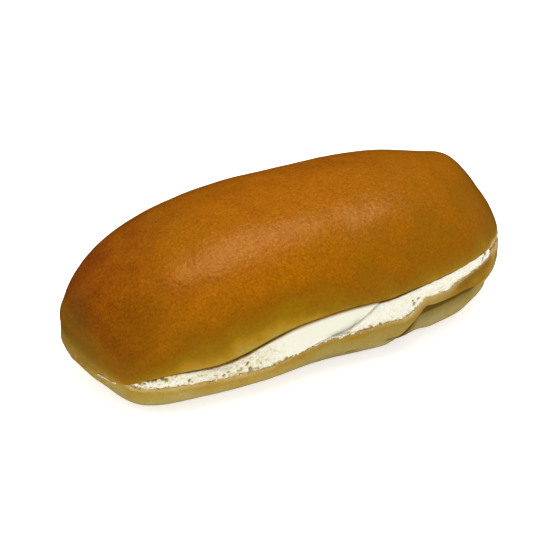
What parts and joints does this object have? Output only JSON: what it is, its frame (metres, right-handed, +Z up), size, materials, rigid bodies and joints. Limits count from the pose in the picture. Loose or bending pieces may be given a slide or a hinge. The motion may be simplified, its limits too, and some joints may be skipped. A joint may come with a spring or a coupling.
{
  "type": "cream bun",
  "caption": "Long soft bread roll with a browned dome, slit along one side and filled with whipped cream, lying on its flat base.",
  "frame": {"origin": "middle of the flat base the bun lies on", "axes": "+X along the roll, -Y towards the slit with the cream, +Z up through the browned dome"},
  "size_m": [0.165, 0.0773, 0.056],
  "materials": {
    "bread": "satin browned crust over pale soft crumb",
    "cream": "soft whipped cream, slightly glossy where it is smoothed"
  },
  "bodies": {
    "root": {"bread": "bread", "cream": "cream"}
  },
  "joints": []
}
